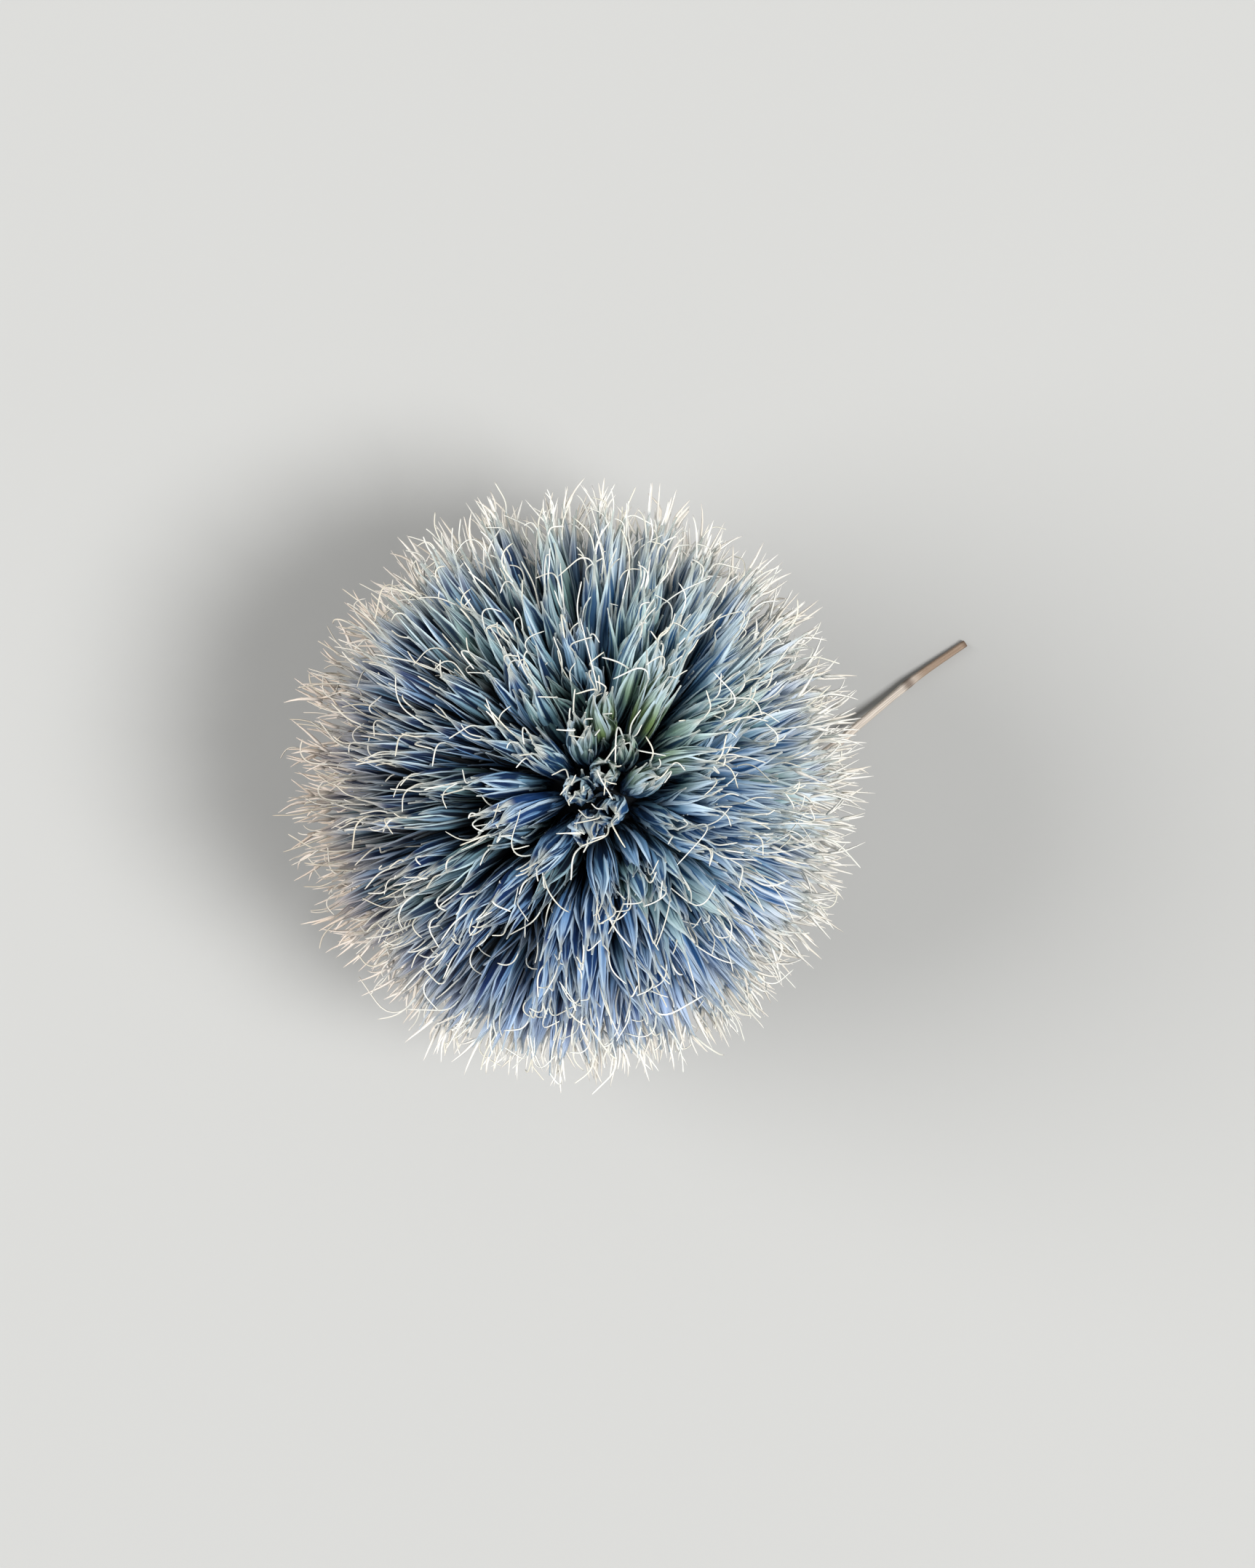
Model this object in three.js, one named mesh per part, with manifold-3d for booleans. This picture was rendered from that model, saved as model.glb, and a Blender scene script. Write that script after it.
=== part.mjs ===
// Globe thistle flower head, cut with a short piece of its stem and lying on a surface.
// Millimetres, +Z up. The surface is z = 0, and the origin is the middle of the part's footprint.
//
// flower_head  the round receptacle with its florets. Each floret is a four-sided husk of bracts
//              that stands out from the receptacle and splits into a crown of four long points.
// stem         the slender stalk, seated in a socket of the receptacle. It leaves the head low down,
//              bends sideways and comes to lie on the surface.
import * as THREE from "three";
import { mergeVertices } from "three/addons/utils/BufferGeometryUtils.js";
import Module from "manifold-3d";

const wasm = await Module();
wasm.setup();

// Driving dimensions.
const headReach = new THREE.Vector3(23.7, 24.3, 24); // from the head's centre to its furthest points
const headCentreHeight = 21; // less than the reach, because the lowest points are pressed flat
const receptacleRadius = 11.5;

const floretCount = 360;
const floretSides = 4;
const rootDistance = 4; // from the head's centre to the hidden end that a husk tapers to
const shoulderReach = 0.66; // where a husk splits, as a share of the head's reach
const shoulderRadius = 1.26; // corner radius of a husk where it splits
const crownDepth = 1.3; // how far the pit inside a crown goes below its shoulder
const crownSpread = 1.55; // from a floret's own line to each of its points
const spacingJitter = 0.022; // radians, sideways from the even spiral
const leanJitter = 0.75; // mm that a crown leans aside
const shortestReach = 0.93; // reach of the shortest point, as a share of the longest
const goldenAngle = Math.PI * (3 - Math.sqrt(5));

const stemDrop = THREE.MathUtils.degToRad(42); // how steeply the stem leaves the head
const stemHeading = THREE.MathUtils.degToRad(1);
const stemGap = THREE.MathUtils.degToRad(9); // no floret stands closer to the stem's line
const stemSeat = 9.8; // from the head's centre to the stem's inner end
const stemStraight = [14, 17.5, 20.5]; // distances at which the stem still runs straight out
const stemBend = [
  [19.9, 2.5, 3.4],
  [23.6, 5.5, 1.5],
  [27.9, 9.0, 0.62],
  [31.8, 11.7, 0.4],
]; // east and north of the head's centre, and height above the surface
const stemRootRadius = 0.7;
const stemTipRadius = 0.36;
const stemTaper = 0.6; // how soon the stem thins, below 1 for sooner
const stemNode = { at: 0.82, swell: 0.16, halfLength: 0.03 }; // scar of a fallen leaf, as shares
const stemRibs = 5;
const ribHeight = 0.07; // as a share of the radius
const stemSides = 10;
const stemSteps = 30;
const fitGap = 0.3; // between the stem and what it passes

const headCentre = new THREE.Vector3(0, 0, headCentreHeight);
const stemLine = new THREE.Vector3(
  Math.cos(stemDrop) * Math.cos(stemHeading),
  Math.cos(stemDrop) * Math.sin(stemHeading),
  -Math.sin(stemDrop),
);
const headAxis = stemLine.clone().negate(); // the florets spiral out from the end opposite the stem

// A repeatable draw from 0 to 1 for draw number `draw` of floret `index`.
function chance(index, draw) {
  const value = Math.sin(index * 127.1 + draw * 311.7) * 43758.5453;
  return value - Math.floor(value);
}

const spread = (index, draw) => 2 * chance(index, draw) - 1;

// Two unit vectors at right angles to `line` and to each other.
function acrossOf(line) {
  const helper =
    Math.abs(line.z) < 0.9
      ? new THREE.Vector3(0, 0, 1)
      : new THREE.Vector3(1, 0, 0);
  const first = helper.cross(line).normalize();
  return [first, new THREE.Vector3().crossVectors(line, first)];
}

// How far the head reaches from its centre along `line`, on an ellipsoid.
function reachAlong(line) {
  return 1 / line.clone().divide(headReach).length();
}

// The direction of floret `index`: a golden-angle spiral over the whole ball, with a little jitter.
function floretLine(index) {
  const polar = Math.acos(1 - (2 * index + 1) / floretCount);
  const turn = index * goldenAngle;
  const [east, north] = acrossOf(headAxis);
  const line = headAxis
    .clone()
    .multiplyScalar(Math.cos(polar))
    .addScaledVector(east, Math.sin(polar) * Math.cos(turn))
    .addScaledVector(north, Math.sin(polar) * Math.sin(turn));
  const [across, along] = acrossOf(line);
  return line
    .addScaledVector(across, spacingJitter * spread(index, 1))
    .addScaledVector(along, spacingJitter * spread(index, 2))
    .normalize();
}

// One floret as a closed geometry: a husk that widens from its root to a four-cornered shoulder,
// and a crown of three-sided points that stand on the shoulder's edges round a pit.
function floretGeometry(index, line) {
  const [across, along] = acrossOf(line);
  const reach = reachAlong(line);
  const twist = chance(index, 3) * Math.PI;
  const place = (distance, aside, angle) =>
    headCentre
      .clone()
      .addScaledVector(line, distance)
      .addScaledVector(across, aside * Math.cos(angle))
      .addScaledVector(along, aside * Math.sin(angle));

  const lean = new THREE.Vector3()
    .addScaledVector(across, leanJitter * spread(index, 4))
    .addScaledVector(along, leanJitter * spread(index, 5));
  const shoulder = shoulderReach * reach;
  const split = [];
  const points = [];
  for (let side = 0; side < floretSides; side++) {
    const corner = twist + (2 * Math.PI * side) / floretSides;
    const middle = corner + Math.PI / floretSides;
    const length =
      reach * (1 - (1 - shortestReach) * chance(index, 6 + side) ** 2);
    split.push(place(shoulder, shoulderRadius, corner));
    points.push(
      place(Math.sqrt(length ** 2 - crownSpread ** 2), crownSpread, middle).add(
        lean,
      ),
    );
  }
  const vertices = [
    ...split,
    ...points,
    place(rootDistance, 0, 0),
    place(shoulder - crownDepth, 0, 0),
  ];
  const root = vertices.length - 2;
  const pit = vertices.length - 1;
  const faces = [];
  for (let side = 0; side < floretSides; side++) {
    const next = (side + 1) % floretSides;
    const point = floretSides + side;
    faces.push([root, next, side], [side, next, point]);
    faces.push([pit, side, point], [next, pit, point]);
  }
  return new THREE.BufferGeometry()
    .setFromPoints(vertices)
    .setIndex(faces.flat());
}

// The stem's centre line, from `seat` mm off the head's centre to the cut end.
function stemPath(seat) {
  const straight = [seat, ...stemStraight].map((distance) =>
    headCentre.clone().addScaledVector(stemLine, distance),
  );
  const bend = stemBend.map((place) => new THREE.Vector3(...place));
  return new THREE.CatmullRomCurve3([...straight, ...bend], false, "centripetal");
}

// Radius of the stem at `share` of its length: it thins towards the cut end, past a swollen node.
function stemRadius(share) {
  const thinning = stemTipRadius - stemRootRadius;
  const node = Math.exp(-(((share - stemNode.at) / stemNode.halfLength) ** 2));
  return (
    (stemRootRadius + thinning * share ** stemTaper) *
    (1 + stemNode.swell * node)
  );
}

// A closed ribbed tube along `path`, `margin` mm thicker than the stem all round.
function stemGeometry(path, margin) {
  const frames = path.computeFrenetFrames(stemSteps);
  const vertices = [];
  const faces = [];
  for (let step = 0; step <= stemSteps; step++) {
    const share = step / stemSteps;
    const centre = path.getPointAt(share);
    for (let side = 0; side < stemSides; side++) {
      const angle = (2 * Math.PI * side) / stemSides;
      const rib = 1 + ribHeight * Math.cos(stemRibs * angle);
      const radius = stemRadius(share) * rib + margin;
      vertices.push(
        centre
          .clone()
          .addScaledVector(frames.normals[step], radius * Math.cos(angle))
          .addScaledVector(frames.binormals[step], radius * Math.sin(angle)),
      );
    }
  }
  for (let step = 0; step < stemSteps; step++) {
    for (let side = 0; side < stemSides; side++) {
      const next = (side + 1) % stemSides;
      const [here, above] = [step * stemSides, (step + 1) * stemSides];
      faces.push([here + side, here + next, above + next]);
      faces.push([here + side, above + next, above + side]);
    }
  }
  const last = stemSteps * stemSides;
  for (let side = 1; side < stemSides - 1; side++) {
    faces.push([0, side + 1, side]);
    faces.push([last, last + side, last + side + 1]);
  }
  return new THREE.BufferGeometry()
    .setFromPoints(vertices)
    .setIndex(faces.flat());
}

// A closed three.js geometry as a manifold-3d solid, for joining and cutting.
function solidOf(geometry) {
  const plain = geometry.clone();
  plain.deleteAttribute("normal");
  plain.deleteAttribute("uv");
  const merged = mergeVertices(plain, 1e-4);
  return new wasm.Manifold(
    new wasm.Mesh({
      numProp: 3,
      vertProperties: merged.attributes.position.array,
      triVerts: new Uint32Array(merged.index.array),
    }),
  );
}

// A manifold-3d solid as a three.js geometry.
function geometryOf(solid) {
  const mesh = solid.getMesh();
  const geometry = new THREE.BufferGeometry()
    .setAttribute("position", new THREE.BufferAttribute(mesh.vertProperties, 3))
    .setIndex(new THREE.BufferAttribute(mesh.triVerts, 1));
  geometry.computeVertexNormals();
  return geometry;
}

function receptacleGeometry() {
  return new THREE.IcosahedronGeometry(receptacleRadius, 2).translate(
    ...headCentre,
  );
}

// The part of space below the surface, wide enough for the whole head.
function belowSurfaceGeometry() {
  const side = 4 * headReach.x;
  return new THREE.BoxGeometry(side, side, side).translate(0, 0, -side / 2);
}

// Florets joined to the receptacle, pressed flat where the head lies, with the stem's socket cut.
function headGeometry() {
  const solids = [solidOf(receptacleGeometry())];
  for (let index = 0; index < floretCount; index++) {
    const line = floretLine(index);
    if (line.angleTo(stemLine) < stemGap) continue;
    solids.push(solidOf(floretGeometry(index, line)));
  }
  const socket = solidOf(stemGeometry(stemPath(stemSeat - fitGap), fitGap));
  const head = wasm.Manifold.union(solids)
    .subtract(solidOf(belowSurfaceGeometry()))
    .subtract(socket);
  const [largest] = head
    .decompose()
    .sort((one, other) => other.volume() - one.volume());
  return geometryOf(largest);
}

const huskBlue = new THREE.MeshStandardMaterial({
  color: 0x7d93b0,
  roughness: 0.72,
  metalness: 0,
});
const stalkCream = new THREE.MeshStandardMaterial({
  color: 0xcfc2a6,
  roughness: 0.68,
  metalness: 0,
});

const flowerHead = new THREE.Mesh(headGeometry(), huskBlue);
flowerHead.name = "flower_head";
const stem = new THREE.Mesh(stemGeometry(stemPath(stemSeat), 0), stalkCream);
stem.name = "stem";

const globeThistle = new THREE.Group();
globeThistle.name = "globe_thistle";
globeThistle.add(flowerHead, stem);

// The origin goes to the middle of the footprint, on the surface.
const middle = new THREE.Box3()
  .setFromObject(globeThistle)
  .getCenter(new THREE.Vector3());
globeThistle.position.set(-middle.x, -middle.y, 0);

export default globeThistle;
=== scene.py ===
import bpy
import numpy as np
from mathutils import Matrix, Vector


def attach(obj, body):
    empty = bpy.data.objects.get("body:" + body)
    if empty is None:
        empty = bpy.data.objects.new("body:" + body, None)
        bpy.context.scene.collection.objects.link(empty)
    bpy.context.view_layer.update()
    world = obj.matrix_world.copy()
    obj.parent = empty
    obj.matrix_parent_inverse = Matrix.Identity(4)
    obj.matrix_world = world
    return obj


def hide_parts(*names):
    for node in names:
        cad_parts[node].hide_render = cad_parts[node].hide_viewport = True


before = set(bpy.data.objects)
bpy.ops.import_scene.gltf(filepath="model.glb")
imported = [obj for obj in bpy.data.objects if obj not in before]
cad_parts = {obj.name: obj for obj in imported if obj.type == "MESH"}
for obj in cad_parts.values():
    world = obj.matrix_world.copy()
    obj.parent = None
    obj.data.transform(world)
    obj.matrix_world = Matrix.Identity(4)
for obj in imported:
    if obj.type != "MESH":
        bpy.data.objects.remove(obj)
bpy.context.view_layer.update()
mm = 0.001
print("frame loaded:", sorted(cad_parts))

# The ball and the spiral that its florets stand in, in millimetres and degrees.
headForm = {
    "centre": (-4.163, -0.121, 21.0),
    "reach": (23.7, 24.95, 24.0),  # from the centre to the furthest tips
    "fullReach": 24.0,  # the reach that a floret of full size has
    "rootCentre": (-2.9, -0.4, 22.0),  # the point that the florets' roots aim at
    "florets": 360,
    "jitter": 0.022,  # radians, sideways from the even spiral
    "lean": 0.8,  # how far a crown leans aside by itself
    "gather": 0.6,  # how far neighbours lean together
    "tuftSpacing": 9.0,
    "tuftsAt": 23.0,  # distance from the centre at which the tufts are spaced
    "crest": 1.6,  # how far the crowns near the top lean outwards
    "crestReach": 10.0,
    "pitRing": (3.8, 5.6),  # distances from the pit: nearer crowns gather, further ones lean outwards
    "pitPull": 0.7,
    "pitCalm": (0.5, 6.0),  # how much less a crown leans by itself near the pit, and how far from it
    "sideTilt": (-0.14, 0.0, 1.0),  # the way in which a line's height is read for its bracts
    "flankRise": 0.1,  # added to that height for a line towards north or south
    "sidewards": (0.08, 0.44),  # heights of a line, between which its bracts go from awns to threads
    "sideCalm": 0.45,  # how much less a crown leans at the sides
    "floor": 1.6,  # below this height tips are bent flat towards the surface
    "seed": 41,
}

# The stalk's route: straight out of the head, then points east and north of the head's centre with a
# height.
stalkForm = {
    "drop": 42.0,
    "heading": 1.0,
    "gap": 9.0,  # no floret stands closer to the stalk's line
    "seat": 9.8,
    "straight": (14.0, 17.5, 20.5),
    "bend": ((19.9, 2.5, 3.4), (23.6, 5.5, 1.5), (27.9, 9.0, 0.62), (31.8, 11.7, 0.34)),
    "rootRadius": 0.6,
    "tipRadius": 0.28,
    "taper": 0.6,
    "nodeAt": 0.82,
    "nodeSwell": 0.16,
    "nodeLength": 0.03,
    "ribs": 5,
    "ribHeight": 0.07,  # as a share of the radius, like the next two heights
    "grooves": 13,
    "grooveHeight": 0.018,
    "knots": 37,
    "knotHeight": 0.02,
    "rings": 150,
    "sides": 40,
}

draws = np.random.default_rng(headForm["seed"])
headCentre = np.array(headForm["centre"])
headReach = np.array(headForm["reach"])


# Each vector divided by its own length.
def unit(vectors):
    return vectors / np.maximum(np.linalg.norm(vectors, axis=-1, keepdims=True), 1e-12)


# A repeatable number from 0 to 1: what is left after the point of a large sine of the row and the draw.
def chance(row, draw):
    value = np.sin(row * 127.1 + draw * 311.7) * 43758.5453
    return value - np.floor(value)


# The same, from -1 to 1.
def spread(row, draw):
    return 2 * chance(row, draw) - 1


# Two unit vectors at right angles to each line: the cross product with up, or with east for a steep
# line, and the cross product of the line with that one.
def acrossOf(lines):
    steep = np.abs(lines[..., 2:3]) >= 0.9
    helper = np.where(steep, np.array([1.0, 0.0, 0.0]), np.array([0.0, 0.0, 1.0]))
    first = unit(np.cross(helper, lines))
    return first, np.cross(lines, first)


# How far the head reaches along each line: the radius of an ellipsoid in that direction.
def reachAlong(lines):
    return 1 / np.linalg.norm(lines / headReach, axis=-1)


# Three t squared minus two t cubed, between a start and an end, flat outside them.
def ease(value, start, end):
    share = np.clip((value - start) / (end - start), 0, 1)
    return share * share * (3 - 2 * share)


# Points near the surface are pressed flat. Below the floor height h, a height z becomes h times e to
# the power of z over h minus one.
def pressFlat(points, least=0.0):
    height = headForm["floor"]
    low = points[..., 2] < height
    pressed = height * np.exp((np.minimum(points[..., 2], height) - height) / height)
    points[..., 2] = np.where(low, np.maximum(pressed, least), points[..., 2])
    return points


# Builds one closed mesh of many equal tubes. points has a row of rings for each tube and a row of
# corners for each ring; neighbouring corners and rings are joined by four-sided faces, and each end
# ring is one face.
def tubesMesh(name, points, across, along, traits):
    tubes, rings, sides = points.shape[:3]
    corner = np.arange(sides)
    following = (corner + 1) % sides
    ring = np.arange(rings - 1)[:, None] * sides
    walls = np.stack([ring + corner, ring + following, ring + sides + following, ring + sides + corner], -1)
    start = np.arange(tubes) * rings * sides
    wallLoops = (start[:, None, None, None] + walls).reshape(-1)
    firstCap = start[:, None] + corner[::-1]
    lastCap = start[:, None] + (rings - 1) * sides + corner
    loops = np.concatenate([wallLoops, firstCap.reshape(-1), lastCap.reshape(-1)])
    totals = np.concatenate([np.full(len(wallLoops) // 4, 4), np.full(2 * tubes, sides)])
    mesh = bpy.data.meshes.new(name)
    mesh.vertices.add(points.size // 3)
    mesh.vertices.foreach_set("co", (points * mm).astype(np.float32).reshape(-1))
    mesh.loops.add(len(loops))
    mesh.loops.foreach_set("vertex_index", loops.astype(np.int32))
    mesh.polygons.add(len(totals))
    mesh.polygons.foreach_set("loop_start", (np.cumsum(totals) - totals).astype(np.int32))
    mesh.polygons.foreach_set("use_smooth", np.ones(len(totals), bool))
    mesh.update(calc_edges=True)
    uv = np.stack([np.broadcast_to(across, points.shape[:3]), np.broadcast_to(along, points.shape[:3])], -1)
    layer = mesh.uv_layers.new(name="lengthwise")
    layer.data.foreach_set("uv", uv.reshape(-1, 2)[loops].astype(np.float32).reshape(-1))
    for trait, values in traits.items():
        held = mesh.attributes.new(trait, "FLOAT", "POINT")
        spreadOut = np.broadcast_to(values[:, None, None], points.shape[:3])
        held.data.foreach_set("value", spreadOut.astype(np.float32).reshape(-1))
    mesh.validate()
    return mesh


# Links a mesh as a piece, gives it its finish, and makes it ride on the part.
def placePiece(mesh, finish, slotName, *nodes, sharpAngle=None):
    if sharpAngle:
        mesh.set_sharp_from_angle(angle=np.radians(sharpAngle))
    mesh.materials.append(finish)
    piece = bpy.data.objects.new(mesh.name, mesh)
    bpy.context.scene.collection.objects.link(piece)
    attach(piece, "root")
    if nodes:
        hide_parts(*nodes)
    mesh.calc_loop_triangles()
    print(f"{piece.name}: {len(mesh.loop_triangles)} triangles")
    return piece


# One wire of a node tree. Plus, minus and times on it add Math nodes.
class Wire:
    def __init__(self, bench, socket):
        self.bench = bench
        self.socket = socket

    def maths(self, operation, first, second):
        return self.bench.node("Math", {"operation": operation}, {0: first, 1: second})

    def __add__(self, other):
        return self.maths("ADD", self, other)

    def __radd__(self, other):
        return self.maths("ADD", other, self)

    def __sub__(self, other):
        return self.maths("SUBTRACT", self, other)

    def __rsub__(self, other):
        return self.maths("SUBTRACT", other, self)

    def __mul__(self, other):
        return self.maths("MULTIPLY", self, other)

    def __rmul__(self, other):
        return self.maths("MULTIPLY", other, self)


# A new material and its node tree.
class Bench:
    def __init__(self, name):
        self.material = bpy.data.materials.new(name)
        self.material.use_nodes = True
        self.tree = self.material.node_tree
        self.tree.nodes.clear()

    # Adds a node: its settings first, then the values or links of its sockets. It gives one output's
    # wire.
    def node(self, kind, settings=None, sockets=None, output=0):
        made = self.tree.nodes.new("ShaderNode" + kind)
        for name, value in (settings or {}).items():
            setattr(made, name, value)
        for key, value in (sockets or {}).items():
            if isinstance(value, Wire):
                self.tree.links.new(value.socket, made.inputs[key])
            else:
                made.inputs[key].default_value = value
        return Wire(self, made.outputs[output]) if len(made.outputs) else None

    # Goes from the first colour to the second as the share goes from 0 to 1, or multiplies by it.
    def mix(self, share, first, second, kind="MIX"):
        settings = {"data_type": "RGBA", "blend_type": kind}
        return self.node("Mix", settings, {0: share, 6: first, 7: second}, output=2)

    # Goes smoothly from 0 at start to 1 at end.
    def ramp(self, value, start, end):
        return self.node("MapRange", {"interpolation_type": "SMOOTHSTEP"}, {0: value, 1: start, 2: end})

    def length(self, vector):
        return self.node("VectorMath", {"operation": "LENGTH"}, {0: vector}, output="Value")

    # One coordinate of a vector: X, Y or Z.
    def part(self, vector, name):
        return self.node("SeparateXYZ", None, {0: vector}, output=name)

    def vector(self, first, second, third=0.0):
        return self.node("CombineXYZ", None, {0: first, 1: second, 2: third})

    def trait(self, name):
        return self.node("Attribute", {"attribute_name": name}, output="Fac")

    def noise(self, vector, scale, detail=2.0, roughness=0.5):
        return self.node("TexNoise", None, {"Vector": vector, "Scale": scale, "Detail": detail,
                                            "Roughness": roughness})

    # Ends the tree in a principled shader. Constant sockets are set on it, varying ones are linked.
    def finish(self, sockets, height=None, bumpStrength=0.5, bumpDistance=0.0001):
        if height is not None:
            sockets["Normal"] = self.node("Bump", None, {"Strength": bumpStrength, "Distance": bumpDistance,
                                                         "Height": height})
        shader = self.node("BsdfPrincipled", None, sockets)
        self.node("OutputMaterial", None, {"Surface": shader})
        return self.material


# A colour given as red, green and blue from 0 to 255, as the linear values that a node wants.
def colour(red, green, blue):
    shares = np.array([red, green, blue]) / 255
    linear = np.where(shares <= 0.04045, shares / 12.92, ((shares + 0.055) / 1.055) ** 2.4)
    return (*linear.tolist(), 1.0)


bractFinish = {
    # Deep in the head the bracts take the nearly black root colour, which is painted shade.
    "depths": (11.0, 15.0, 18.5, 22.0),  # millimetres from the head's centre
    "root": colour(4, 8, 13),
    "steel": colour(118, 166, 204),  # the ribs of a bract
    "sky": colour(102, 152, 206),
    "sage": colour(142, 178, 162),
    "olive": colour(126, 150, 84),
    "pale": colour(210, 232, 248),  # and their outer ends
    "paleSage": colour(204, 228, 222),
    "frost": colour(226, 230, 240),  # of the bracts at the sides
    "cobalt": colour(12, 47, 102),  # the channels between the ribs
    "moss": colour(24, 52, 66),
    "teal": colour(56, 114, 168),
    "deepOlive": colour(50, 68, 36),
    "cream": colour(226, 230, 222),
    "fibres": 3.5,  # fine lines across one bract
    "roughness": 0.46,
    # The head is greener towards this side by its own colour, and paler partly by its own colour and partly
    # as painted light.
    "sunnySide": (0.98, 0.2, 0.0),  # the way in which the head gets paler and greener
    "oliveSpot": (5.6, 4.8, 17.0),  # from the head's centre, millimetres
    "oliveSize": (4.8, 9.0),
    # Painted shade: the west side is darkened and warmed as painted reflected light.
    "paintedWestShade": colour(226, 204, 192),  # multiplies the colour on the duskier side
    # Painted shade darkens the far north and the far south, the south slightly bluer.
    "paintedNorthShade": colour(222, 226, 226),  # and in the far north
    "paintedSouthShade": colour(210, 222, 240),  # and in the far south
    "flankEdges": (0.25, 0.85),  # these and the next three are in radii of the head, north, east or up
    "paintedWestShadeEdges": (-0.95, -0.35),
    "sunnyEdges": (-0.4, 0.5),
    "lowEdges": (0.1, 0.65),
    # Painted light: bracts near the head's axis are coloured as if further out, to lift their steep, shaded
    # faces.
    "axisEdges": (1.5, 7.5),  # millimetres from the head's axis, between which the next value fades
    "nearerAxis": 3.4,  # millimetres that a bract at the axis is coloured as if it were further out
    # Painted light on the sunny side.
    "sunnier": 3.0,  # the same on the sunny side
    # The next value widens the painted shade at the roots.
    "deeper": 1.2,  # millimetres that every bract is coloured as if it were deeper in
    "patchScale": 95.0,  # of the soft patches of colour over the head
    "greenEdges": (0.44, 0.9),
    "blueEdges": (0.42, 0.85),
    "marginEdges": (0.64, 0.8),  # from keel to margin
    "keelEdges": (0.06, 0.2),
    "tipEdges": (0.84, 0.96),  # along the bract
    "sideEndEdges": (0.74, 0.94),
    "bumpDepth": 0.00018,
}
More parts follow.
